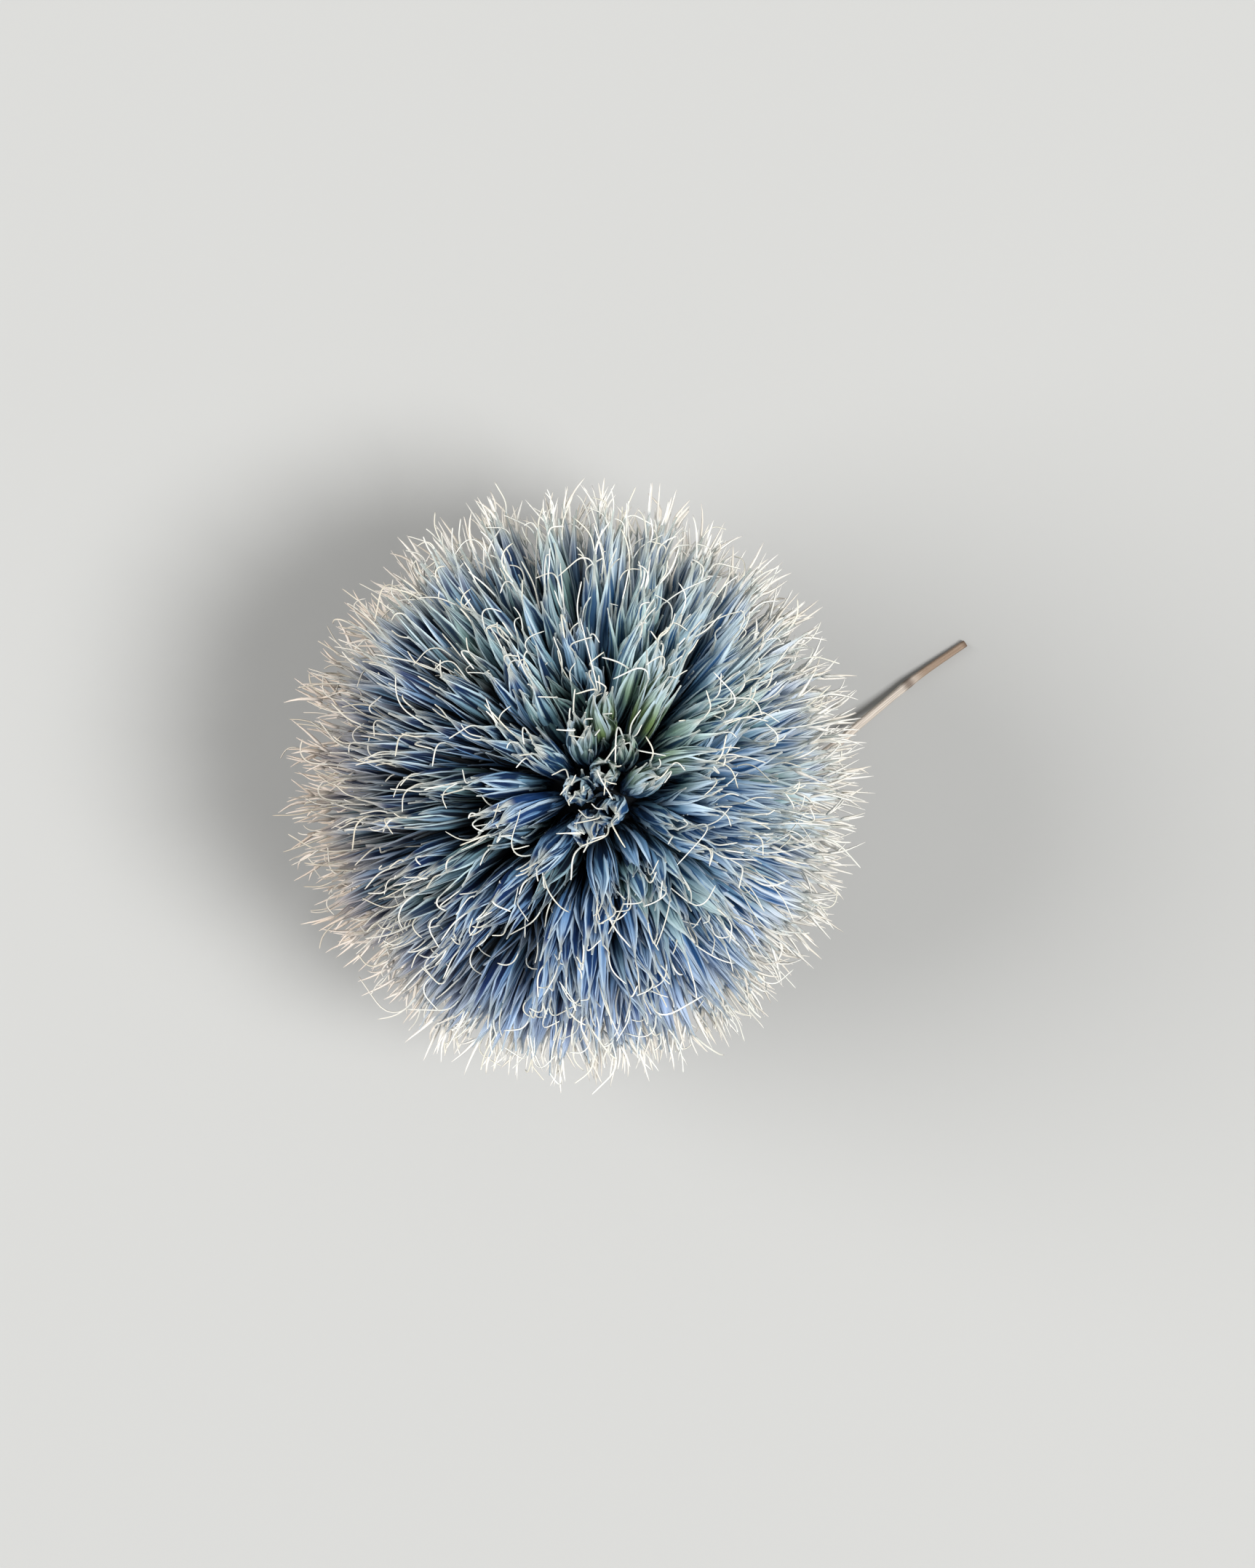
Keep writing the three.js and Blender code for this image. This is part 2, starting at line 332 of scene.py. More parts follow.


# Bracts of pale ribs and dark channels. Both start almost black at the root, as painted shade deep in
# the head; the ribs turn steel blue, sky blue or sage and then pale, the channels cobalt or moss green.
# A band of slow noise across the bract, fine fibres, the margins and the keel say what is rib and what
# is channel. Painted light makes the bracts paler near the axis and on the sunny east side; painted
# shade darkens and warms the west side and darkens the far north and south.
def bractMaterial():
    values = bractFinish
    bench = Bench("bract_blue_grey")
    place = bench.node("TexCoord", output="Object")
    centre = tuple((headCentre * mm).tolist())
    fromCentre = bench.node("VectorMath", {"operation": "SUBTRACT"}, {0: place, 1: centre})
    depth = bench.length(fromCentre) * 1000.0
    pairing = {0: fromCentre, 1: values["sunnySide"]}
    radii = 1000.0 / headForm["fullReach"]  # metres to radii of the head
    east = bench.node("VectorMath", {"operation": "DOT_PRODUCT"}, pairing, output="Value") * radii
    north = bench.part(fromCentre, "Y") * radii
    low = 1.0 - bench.ramp(bench.part(fromCentre, "Z") * radii, *values["lowEdges"])
    spot = tuple(((headCentre + np.array(values["oliveSpot"])) * mm).tolist())
    pairing = {0: place, 1: spot}
    fromSpot = bench.node("VectorMath", {"operation": "DISTANCE"}, pairing, output="Value") * 1000.0
    uv = bench.node("UVMap", {"uv_map": "lengthwise"})
    across = bench.part(uv, "X")
    along = bench.part(uv, "Y")
    tone = bench.trait("tone")
    green = bench.trait("green")

    # Over the head, in soft patches, and from bract to bract.
    patches = bench.noise(place, values["patchScale"], 1.0)
    greenness = bench.ramp(green * 0.6 + east * 0.12 + north * 0.1 + patches * 0.5, *values["greenEdges"])
    blueness = bench.ramp(tone * 0.9 + patches * 0.5 - east * 0.1 - north * 0.2, *values["blueEdges"])
    # Paler on the east side partly by the bracts' own colour and partly as painted light; sunny marks the
    # lit east side, pales the bracts as painted light and turns their channels teal.
    paleness = bench.ramp(bench.trait("pale") + east * 0.65, 0.0, 1.1)
    sunny = bench.ramp(east, *values["sunnyEdges"])
    olive = (1.0 - bench.ramp(fromSpot + green * 4.0, *values["oliveSize"])) * 0.95

    # Ribs and channels along the bract, from painted shade at the root outwards.
    first, second, third, fourth = values["depths"]
    flat = bench.node("VectorMath", {"operation": "MULTIPLY"}, {0: fromCentre, 1: (1.0, 1.0, 0.0)})
    # Painted light near the axis and on the sunny side makes bracts paler; the shift deeper widens the
    # painted shade.
    nearAxis = 1.0 - bench.ramp(bench.length(flat) * 1000.0, *values["axisEdges"])
    depth = depth + sunny * values["sunnier"] + nearAxis * values["nearerAxis"] - values["deeper"]
    rib = bench.mix(blueness, values["steel"], values["sky"])
    rib = bench.mix(greenness * 0.85, rib, values["sage"])
    rib = bench.mix(olive, rib, values["olive"])
    rib = bench.mix(bench.ramp(depth, first, third), values["root"], rib)
    end = bench.mix(greenness * 0.8, values["pale"], values["paleSage"])
    end = bench.mix(low * 0.7, end, values["frost"])
    paling = bench.ramp(depth, third - 1.0, fourth) * (paleness * 0.7 + 0.25 - olive * 0.3)
    rib = bench.mix(paling, rib, end)
    rib = bench.mix(bench.ramp(along, 0.5, 0.95) * bench.ramp(depth, 14.5, 19.0) * 0.5, rib, end)
    channel = bench.mix(greenness * 0.85, values["cobalt"], values["moss"])
    channel = bench.mix(sunny * 0.5, channel, values["teal"])
    channel = bench.mix(olive, channel, values["deepOlive"])
    channel = bench.mix(bench.ramp(depth, second - 1.0, fourth - 1.5), values["root"], channel)

    # What is rib and what is channel across it.
    drift = bench.vector(across * 2.4, along * 1.5, tone * 40.0)
    band = bench.ramp(bench.noise(drift, 1.3, 1.0), 0.42, 0.58)
    waver = bench.noise(bench.vector(across * 3.0, along * 5.0, tone * 60.0), 1.0)
    turns = (across + waver * 0.12) * (values["fibres"] * 6.2832)
    wave = bench.node("Math", {"operation": "SINE"}, {0: turns + tone * 20.0})
    fibre = bench.ramp(wave, -0.8, 0.9)
    fromKeel = bench.node("Math", {"operation": "ABSOLUTE"}, {0: across * 2.0 - 1.0})
    margin = bench.ramp(fromKeel + east * 0.06, *values["marginEdges"])
    keel = 1.0 - bench.ramp(fromKeel, *values["keelEdges"])
    mask = bench.ramp(band * 0.6 + fibre * 0.3 + margin * 0.5 + keel * 0.25 + paleness * 0.3 + sunny * 0.12,
                      0.4, 1.1)
    body = bench.mix(mask, channel, rib)
    body = bench.mix(margin * bench.ramp(depth, 13.0, 18.5) * (0.95 - olive * 0.3), body, end)
    body = bench.mix(bench.ramp(along, *values["sideEndEdges"]) * low * 0.8, body, end)
    tip = bench.ramp(along + (tone - 0.5) * 0.06 + nearAxis * 0.08, *values["tipEdges"])
    body = bench.mix(tip * bench.ramp(depth, 14.0, 20.5) * 0.9, body, values["cream"])
    # Painted shade on the west side, warmed as painted reflected light.
    body = bench.mix(1.0 - bench.ramp(east, *values["paintedWestShadeEdges"]), body, values["paintedWestShade"], "MULTIPLY")
    # Painted shade in the far north and south.
    body = bench.mix(bench.ramp(north, *values["flankEdges"]), body, values["paintedNorthShade"], "MULTIPLY")
    body = bench.mix(bench.ramp(0.0 - north, *values["flankEdges"]), body, values["paintedSouthShade"], "MULTIPLY")

    sockets = {"Base Color": body, "Roughness": values["roughness"], "Specular IOR Level": 0.4}
    return bench.finish(sockets, mask + fibre * 0.3, 0.7, values["bumpDepth"])


# Threads and awns get the same warm painted shade on the west side.
paintedWestShadeEdges = (-0.026, -0.010)  # metres east, where the duskier side ends

threadFinish = {
    "cream": colour(240, 240, 232),
    "straw": colour(228, 222, 202),
    "blueRoot": colour(204, 218, 222),
    "roughness": 0.55,
    "paintedWestShade": colour(216, 208, 202),
}


awnFinish = {
    "cream": colour(240, 238, 231),
    "straw": colour(232, 223, 208),
    "blueRoot": colour(216, 226, 232),
    "roughness": 0.6,
    "paintedWestShade": colour(246, 234, 227),  # multiplies the colour on the duskier side
}


# Cream threads or awns, straw-coloured here and there, still bluish where they leave the bract, and darker
# and warmer on the west side as painted shade.
def threadMaterial(name, values):
    bench = Bench(name)
    uv = bench.node("UVMap", {"uv_map": "lengthwise"})
    along = bench.part(uv, "Y")
    tone = bench.trait("tone")
    body = bench.mix(bench.ramp(tone, 0.3, 1.0) * 0.7, values["cream"], values["straw"])
    body = bench.mix((1.0 - bench.ramp(along, 0.0, 0.3)) * 0.6, body, values["blueRoot"])
    east = bench.part(bench.node("TexCoord", output="Object"), "X")
    body = bench.mix(1.0 - bench.ramp(east, *paintedWestShadeEdges), body, values["paintedWestShade"], "MULTIPLY")
    sockets = {"Base Color": body, "Roughness": values["roughness"], "Specular IOR Level": 0.35}
    return bench.finish(sockets)


coreFinish = {
    # Nearly black: painted shade deep in the head.
    "pit": colour(6, 9, 15),
    "rib": colour(24, 32, 38),
    "roughness": 0.9,
}


# The receptacle that the florets sit on: nearly black as painted shade deep in the head, with a felted
# grain.
def coreMaterial():
    values = coreFinish
    bench = Bench("receptacle_painted_shade")
    place = bench.node("TexCoord", output="Object")
    grain = bench.noise(place, 900.0, 4.0, 0.6)
    body = bench.mix(bench.ramp(grain, 0.35, 0.7), values["pit"], values["rib"])
    return bench.finish({"Base Color": body, "Roughness": values["roughness"]}, grain, 0.8, 0.0003)


stalkFinish = {
    "cream": colour(224, 213, 200),
    "grey": colour(182, 170, 158),
    "brown": colour(128, 98, 70),
    "scar": colour(84, 62, 46),
    "roughness": 0.7,
}


# Pale ribbed stalk: grey and cream in fine streaks, brown beyond the leaf scar as painted shade, and darkest
# at the cut.
def stalkMaterial():
    values = stalkFinish
    bench = Bench("stalk_pale")
    uv = bench.node("UVMap", {"uv_map": "lengthwise"})
    across = bench.part(uv, "X")
    along = bench.part(uv, "Y")
    fibres = bench.noise(bench.vector(across * 26.0, along * 9.0), 1.0, 3.0, 0.6)
    body = bench.mix(bench.ramp(fibres, 0.35, 0.68), values["grey"], values["cream"])
    # Brown beyond the leaf scar: painted shade.
    paintedShadeEnd = bench.ramp(along + fibres * 0.04, 0.83, 0.9)
    body = bench.mix(paintedShadeEnd * 0.75, body, values["brown"])
    scar = bench.ramp(along, 0.80, 0.82) * (1.0 - bench.ramp(along, 0.825, 0.845))
    body = bench.mix(scar * 0.7, body, values["scar"])
    body = bench.mix(bench.ramp(along, 0.985, 1.0) * 0.7, body, values["scar"])
    return bench.finish({"Base Color": body, "Roughness": values["roughness"]}, fibres, 0.6, 0.0002)


# The direction that the stalk leaves the head in.
def stalkLine():
    drop, heading = np.radians(stalkForm["drop"]), np.radians(stalkForm["heading"])
    return np.array([np.cos(drop) * np.cos(heading), np.cos(drop) * np.sin(heading), -np.sin(drop)])


# One line for each floret: equal steps of height along the head's axis, turned by the golden angle each
# time, with a little jitter, and none beside the stalk.
def floretLines():
    count = headForm["florets"]
    row = np.arange(count, dtype=float)
    polar = np.arccos(1 - (2 * row + 1) / count)
    turn = row * np.pi * (3 - np.sqrt(5))
    axis = -stalkLine()
    east, north = acrossOf(axis)
    ringwards = np.cos(turn)[:, None] * east + np.sin(turn)[:, None] * north
    lines = np.cos(polar)[:, None] * axis + np.sin(polar)[:, None] * ringwards
    first, second = acrossOf(lines)
    sideways = headForm["jitter"]
    shift = first * spread(row, 1)[:, None] + second * spread(row, 2)[:, None]
    lines = unit(lines + shift * sideways)
    clear = np.arccos(np.clip(lines @ stalkLine(), -1, 1)) > np.radians(stalkForm["gap"])
    return row[clear], lines[clear]


floretRow, floretLine = floretLines()
floretCount = len(floretRow)
floretAcross, floretAlong = acrossOf(floretLine)
floretTwist = chance(floretRow, 3) * np.pi


# How far each crown leans aside: a draw of its own, a slow field of waves that gathers neighbours into
# tufts, and near the top a pull into the pit, or beyond it a push outwards that fades as the square of
# the distance. The second result is 1 in the pit and 0 beyond it.
def crownLean():
    own = floretAcross * spread(floretRow, 4)[:, None] + floretAlong * spread(floretRow, 5)[:, None]
    waves = unit(draws.normal(size=(7, 3))) * (2 * np.pi / headForm["tuftSpacing"])
    phase = draws.random(7) * 2 * np.pi
    places = floretLine * headForm["tuftsAt"]
    slope = np.cos(places @ waves.T + phase) @ waves
    slope = slope - floretLine * np.sum(slope * floretLine, -1, keepdims=True)
    slope = slope / np.sqrt(np.mean(np.sum(slope**2, -1)))
    aside = (places - np.array(headForm["rootCentre"]) + headCentre) * np.array([1.0, 1.0, 0.0])
    distance = np.linalg.norm(aside, axis=-1, keepdims=True)
    above = places[:, 2:3] > 0
    fading = np.exp(-((distance / headForm["crestReach"]) ** 2)) * above
    beyond = ease(distance, *headForm["pitRing"])
    calm, calmReach = headForm["pitCalm"]
    own = own * (1 - calm * np.exp(-((distance / calmReach) ** 2)))
    inwards = (1 - beyond) * ease(distance, 1.0, 3.0) * above
    crest = unit(aside) * (beyond * fading * headForm["crest"] - inwards * headForm["pitPull"])
    return own * headForm["lean"] + slope * headForm["gather"] + crest, ((1 - beyond) * above)[:, 0]


floretLean, floretPit = crownLean()
floretSize = reachAlong(floretLine) / headForm["fullReach"]
floretOpen = draws.random(floretCount)  # how wide a floret's crown stands open
floretGreen = draws.random(floretCount)
floretTone = draws.random(floretCount)
floretPale = draws.random(floretCount)
floretHeight = floretLine @ np.array(headForm["sideTilt"]) + headForm["flankRise"] * np.abs(floretLine[:, 1])
floretSide = 1 - ease(floretHeight, *headForm["sidewards"])  # 1 at the sides

# Around the top bracts are broader, and crowns are slimmer and less open, most of all in the pit.
topForm = {
    "edges": (0.8, 0.97),  # heights of a line, between which this sets in
    "broader": 0.12,
    "slimmer": 0.18,
    "closer": 0.4,
    "pitCloser": 0.6,
}
floretTop = ease(floretLine[:, 2], *topForm["edges"])
floretBroad = 1 + topForm["broader"] * floretTop
floretSlim = 1 - topForm["slimmer"] * floretTop
floretOpen = floretOpen * (1 - topForm["closer"] * floretTop) * (1 - topForm["pitCloser"] * floretPit)
floretLean = floretLean * (1 - headForm["sideCalm"] * floretSide)[:, None]

# Away from the sides some florets are shorter, and a few stand much lower than their neighbours.
shortForm = {
    "power": 1.6,
    "sunkShare": 0.16,
    "sunk": 1.9,
    "step": 0.13,  # length lost by a floret whose shortness is 1, as a share
    "sideStep": 0.045,  # and by one at the sides
}
floretShort = draws.random(floretCount) ** shortForm["power"]
floretSunk = draws.random(floretCount) < shortForm["sunkShare"]
floretShort = np.where(floretSunk, shortForm["sunk"], floretShort) * (1 - floretSide)
print("florets:", floretCount)

# Three whorls of bracts for each floret. Distances are from the head's centre, asides from the floret's
# line. A bract is a long blade that runs out in a short awn.
innerWhorl = {
    "name": "inner_bracts",
    "count": 5,
    "turn": 0.5,  # of the angle between two bracts, past the floret's own turn
    "root": 8.6,
    "tip": (20.6, 22.8),
    "asides": (0.2, 0.55, 0.82, 0.8),  # at the root, a third, 0.6 and three quarters of the way
    "closed": 0.3,  # aside of the tips of a closed crown
    "open": 1.35,
    "width": (1.2, 1.65),
    "threaded": 0.88,  # share of bracts whose tip runs on in a curled thread
    "awned": 1.0,  # share of them that end in a straight awn at the head's sides
    "section": "keeled",
    "rings": (0.0, 0.2, 0.38, 0.52, 0.65, 0.76, 0.86, 0.94, 1.0),
}
middleWhorl = {
    "name": "middle_bracts",
    "count": 5,
    "turn": 0.0,
    "root": 8.4,
    "tip": (17.4, 21.8),
    "asides": (0.3, 0.7, 1.0, 1.1),
    "closed": 0.8,
    "open": 1.7,
    "width": (1.0, 1.45),
    "threaded": 0.28,
    "awned": 0.9,
    "section": "keeled",
    "rings": (0.0, 0.2, 0.38, 0.52, 0.65, 0.76, 0.86, 0.94, 1.0),
}
outerWhorl = {
    "name": "outer_bracts",
    "count": 6,
    "turn": 0.5,
    "root": 8.2,
    "tip": (13.5, 18.5),
    "asides": (0.4, 0.85, 1.15, 1.2),
    "closed": 1.1,
    "open": 1.7,
    "width": (0.45, 0.75),
    "threaded": 0.0,
    "awned": 0.0,
    "section": "ridged",
    "rings": (0.0, 0.26, 0.48, 0.66, 0.8, 0.9, 1.0),
}
bractShape = {"widest": 0.54, "bladeEnd": 1.0, "foot": 0.45, "fall": 1.25, "tip": 0.17}
# How much one bract differs from the next: whole ranges, in millimetres, but for the two shares and the
# twist.
bractStray = {
    "turn": 0.4,  # share of the angle between two bracts
    "standOff": 0.3,  # share of the asides
    "opening": 0.5,
    "bow": 0.6,  # sideways, halfway along
    "swing": 1.4,  # sideways, more and more towards the tip
    "wave": 0.3,  # sideways, to and fro
    "tipOut": 0.7,
    "tipAside": 0.9,
    "twist": 1.3,  # radians, from root to tip
}
# Corners of a bract's section: across and outward as shares of its width, the skin added outward in
# millimetres, and the share across that the finish reads.
bractSections = {
    "keeled": {
        "across": (-0.5, -0.26, 0.0, 0.26, 0.5, 0.0),
        "outward": (-0.13, 0.06, 0.20, 0.06, -0.13, -0.03),
        "skin": (0.0, 0.05, 0.08, 0.05, 0.0, -0.07),
        "share": (0.0, 0.25, 0.5, 0.75, 1.0, 0.5),
    },
    "ridged": {
        "across": (-0.5, 0.0, 0.5, 0.0),
        "outward": (-0.1, 0.2, -0.1, -0.06),
        "skin": (0.0, 0.06, 0.0, -0.06),
        "share": (0.0, 0.5, 1.0, 0.5),
    },
}


# A whorl of bracts. Each centreline leaves the root close to the floret's line, stands off from it by
# the whorl's asides, and closes or flares near its tip. The blade's width rises to the widest place as
# a quarter sine and falls as a power of a quarter cosine. Each is placed a little astray by draws of
# its own.
def whorlMesh(whorl):
    stray = bractStray
    count = whorl["count"]
    total = floretCount * count
    floret = np.repeat(np.arange(floretCount), count)
    place = np.tile(np.arange(count), floretCount)
    draw = draws.random((14, total))
    astray = draw - 0.5
    angle = floretTwist[floret] + 2 * np.pi * (place + whorl["turn"] + stray["turn"] * astray[0]) / count
    outward = (floretAcross[floret] * np.cos(angle)[:, None] + floretAlong[floret] * np.sin(angle)[:, None])
    sideways = np.cross(floretLine[floret], outward)
    share = np.array(whorl["rings"])[None, :]
    drawnOut = draw[10] < whorl["threaded"] + (whorl["awned"] - whorl["threaded"]) * floretSide[floret]
    tip = whorl["tip"][0] + (whorl["tip"][1] - whorl["tip"][0]) * draw[1]
    shorter = shortForm["step"] * floretShort[floret] + shortForm["sideStep"] * floretSide[floret]
    tip = tip * floretSize[floret] * (1 - shorter)
    distance = whorl["root"] + (tip - whorl["root"])[:, None] * share
    standOff = np.interp(share[0], (0, 0.33, 0.6, 0.75), whorl["asides"])[None, :]
    standOff = standOff * (1 + stray["standOff"] * astray[3])[:, None]
    opened = np.clip(floretOpen[floret] + stray["opening"] * astray[2], 0, 1) ** 1.3
    tipAside = whorl["closed"] + (whorl["open"] - whorl["closed"]) * opened
    crown = ease(share, 0.6, 1.1)
    standOff = standOff + (tipAside[:, None] - standOff) * crown
    slim = floretSlim[floret][:, None]
    atTip = ease(share, 0.72, 1.1)
    standOff = (standOff + stray["tipOut"] * (astray[11] + 0.1)[:, None] * atTip) * slim
    sway = stray["bow"] * astray[4][:, None] * np.sin(np.pi * share)
    sway = (sway + stray["swing"] * astray[5][:, None] * share**3) * slim**2
    sway = sway + stray["tipAside"] * astray[12][:, None] * atTip
    sway = sway + stray["wave"] * astray[8][:, None] * np.sin(3 * np.pi * share)
    rootShift = np.array(headForm["rootCentre"]) - headCentre
    line = headCentre + floretLine[floret][:, None, :] * distance[..., None]
    line = line + rootShift * (1 - ease(distance / headForm["fullReach"], 0.3, 0.92))[..., None]
    line = line + outward[:, None, :] * standOff[..., None] + sideways[:, None, :] * sway[..., None]
    line = line + floretLean[floret][:, None, :] * (share**2)[..., None]

    tangent = unit(np.gradient(line, share[0], axis=1))
    level = sideways[:, None, :]
    acrossWay = unit(level - tangent * np.sum(level * tangent, -1, keepdims=True))
    outWay = np.cross(acrossWay, tangent)
    turn = stray["twist"] * astray[6][:, None] * share
    cosine, sine = np.cos(turn)[..., None], np.sin(turn)[..., None]
    acrossWay, outWay = acrossWay * cosine + outWay * sine, outWay * cosine - acrossWay * sine

    form = bractShape
    rising = form["foot"] + (1 - form["foot"]) * np.sin(np.pi / 2 * np.minimum(share / form["widest"], 1))
    falling = np.clip((share - form["widest"]) / (form["bladeEnd"] - form["widest"]), 0, 1)
    swell = rising * np.cos(np.pi / 2 * falling) ** form["fall"]
    width = (whorl["width"][0] + (whorl["width"][1] - whorl["width"][0]) * draw[7])[:, None] * swell
    width = np.maximum(width * (floretSize * floretBroad)[floret][:, None], form["tip"])
    section = bractSections[whorl["section"]]
    side = width[..., None] * np.array(section["across"])
    skin = np.minimum(width / 0.4, 1.0)[..., None] * np.array(section["skin"])
    raised = width[..., None] * np.array(section["outward"]) + skin
    points = (line[:, :, None, :] + acrossWay[:, :, None, :] * side[..., None]
              + outWay[:, :, None, :] * raised[..., None])
    points = pressFlat(points)
    traits = {"tone": 0.5 * floretTone[floret] + 0.5 * draw[8],
              "green": 0.65 * floretGreen[floret] + 0.35 * draw[9],
              "pale": 0.4 * floretPale[floret] + 0.6 * draw[13]}
    mesh = tubesMesh(whorl["name"], points, np.array(section["share"]), share[0][:, None], traits)
    ends = {"point": line[drawnOut, -1], "heading": tangent[drawnOut, -1], "away": outward[drawnOut],
            "side": floretSide[floret][drawnOut]}
    return mesh, ends


curledThreads = {
    "name": "curled_threads",
    "radius": (0.06, 0.08),
    "taper": 0.25,
    "foot": 0.8,  # of the radius, at the root
    "tip": 0.6,
    "overlap": 0.25,  # millimetres that a thread starts inside its bract
    "length": (1.6, 4.2),
    "stray": 0.08,  # share of threads that are longer still
    "strayLength": (4.0, 7.0),
    "hooked": 0.38,  # share of threads that curl far round
    "bend": (0.9, 2.1),
    "slight": (0.15, 0.8),
    "splay": 0.2,  # how far a thread turns away from the floret's line at its root
    "scatter": 0.12,
    "rings": 14,
    "sides": 3,
    "seed": 7,
}
straightAwns = {
    "name": "straight_awns",
    "radius": (0.15, 0.21),
    "taper": 0.85,
    "foot": 0.15,
    "tip": 0.5,
    "overlap": 0.8,
    "length": (2.0, 3.6),
    "stray": 0.0,
    "strayLength": (4.0, 7.0),
    "hooked": 0.1,
    "bend": (0.7, 1.2),
    "slight": (0.0, 0.45),
    "splay": 0.15,
    "scatter": 0.23,
    "rings": 6,
    "sides": 3,
    "seed": 19,
}
forkedShare = 0.6  # share of the awned bract tips that carry two awns
threadPath = {
    "aside": 0.5,  # how much of a thread's curl goes away from the floret's line
    "beginBy": 0.3,  # share of its length by which it begins to curl
    "curlOver": (0.4, 0.9),  # and the share over which it curls
    "wobble": 0.25,
    "shortish": 1.4,  # power of the draw of its length
    "reach": 1.0,  # furthest end of a thread, as a share of the head's reach
    "ragged": 0.05,
}


# Threads that run on from the bracts' tips. The heading turns from the bract's towards a side, by an
# angle that eases in over part of the length, and the line is the running sum of the headings.
def threadMesh(form, ends):
    draw = np.random.default_rng(form["seed"])
    total = len(ends["point"])
    rings = form["rings"]
    share = np.linspace(0, 1, rings)[None, :]
    scatter = form["scatter"] * draw.normal(size=(total, 3))
    heading = unit(ends["heading"] + form["splay"] * ends["away"] + scatter)
    first, second = acrossOf(heading)
    angle = draw.random(total) * 2 * np.pi
    aside = first * np.cos(angle)[:, None] + second * np.sin(angle)[:, None]
    aside = unit(aside + threadPath["aside"] * ends["away"])
    aside = unit(aside - heading * np.sum(aside * heading, -1, keepdims=True))
    far = draw.random(total) < form["hooked"]
    least = np.where(far, form["bend"][0], form["slight"][0])
    most = np.where(far, form["bend"][1], form["slight"][1])
    bend = least + (most - least) * draw.random(total)
    begin = threadPath["beginBy"] * draw.random(total)
    briefest, longest = threadPath["curlOver"]
    until = begin + briefest + (longest - briefest) * draw.random(total)
    theta = bend[:, None] * ease(share, begin[:, None], until[:, None])
    wobble = threadPath["wobble"] * (draw.random(total) - 0.5)[:, None] * np.sin(2 * np.pi * share)
    third = np.cross(heading, aside)
    way = unit(heading[:, None, :] * np.cos(theta)[..., None] + aside[:, None, :] * np.sin(theta)[..., None]
               + third[:, None, :] * wobble[..., None])
    least, most = form["length"]
    length = least + (most - least) * draw.random(total) ** threadPath["shortish"]
    stray = draw.random(total) < form["stray"]
    least, most = form["strayLength"]
    length = np.where(stray, least + (most - least) * draw.random(total), length)
    step = np.concatenate([np.zeros((total, 1, 3)), 0.5 * (way[:, 1:] + way[:, :-1])], 1) / (rings - 1)
    run = np.cumsum(step, 1)
    start = ends["point"] - ends["heading"] * form["overlap"]
    free = start[:, None] + run * length[:, None, None]
    furthest = np.max(np.linalg.norm((free - headCentre) / headReach, axis=-1), 1)
    begins = np.linalg.norm((start - headCentre) / headReach, axis=-1)
    limit = threadPath["reach"] - threadPath["ragged"] * draw.random(total) ** 2
    room = np.clip((limit - begins) / np.maximum(furthest - begins, 1e-6), 0.15, 1)
    length = length * np.where(furthest > limit, room, 1)
    line = start[:, None] + run * length[:, None, None]
    tangent = unit(way)
    firstWay = unit(third[:, None, :] - tangent * np.sum(third[:, None, :] * tangent, -1, keepdims=True))
    secondWay = np.cross(tangent, firstWay)
    low, high = form["radius"]
    radius = (low + (high - low) * draw.random(total))[:, None] * (1.05 - form["taper"] * share)
    radius[:, 0] *= form["foot"]
    radius[:, -1] *= form["tip"]
    corner = np.arange(form["sides"]) * 2 * np.pi / form["sides"]
    points = (line[:, :, None, :] + firstWay[:, :, None, :] * (radius[..., None] * np.cos(corner))[..., None]
              + secondWay[:, :, None, :] * (radius[..., None] * np.sin(corner))[..., None])
    points = pressFlat(points)
    traits = {"tone": draw.random(total)}
    return tubesMesh(form["name"], points, corner / (2 * np.pi), share[0][:, None], traits)


bractSkin = bractMaterial()
innerMesh, innerEnds = whorlMesh(innerWhorl)
middleMesh, middleEnds = whorlMesh(middleWhorl)
outerMesh = whorlMesh(outerWhorl)[0]  # its bracts carry no threads
placePiece(innerMesh, bractSkin, "bracts", "flower_head", sharpAngle=50)
placePiece(middleMesh, bractSkin, "bracts", "flower_head", sharpAngle=50)
placePiece(outerMesh, bractSkin, "bracts", "flower_head", sharpAngle=50)
allEnds = {key: np.concatenate([innerEnds[key], middleEnds[key]]) for key in innerEnds}
atSide = draws.random(len(allEnds["side"])) < allEnds["side"]
threadEnds = {key: values[~atSide] for key, values in allEnds.items()}
forked = atSide & (draws.random(len(atSide)) < forkedShare)
awnEnds = {key: np.concatenate([values[atSide], values[forked]]) for key, values in allEnds.items()}
threadSkin = threadMaterial("thread_cream", threadFinish)
awnSkin = threadMaterial("awn_cream", awnFinish)
placePiece(threadMesh(curledThreads, threadEnds), threadSkin, "thread_tips", "flower_head")
placePiece(threadMesh(straightAwns, awnEnds), awnSkin, "thread_tips", "flower_head")
print("bracts and threads made")

# The receptacle under the florets.
coreForm = {
    "radius": 9.4,
    "rings": 60,
    "sides": 120,
    "knobs": 0.25,  # millimetres that the florets' seats stand up
    "knobPower": 120,
    "shift": 0.7,  # from the head's centre towards the florets' root centre, as a share
    "cap": 0.02,  # radians, the size of the closed poles
}


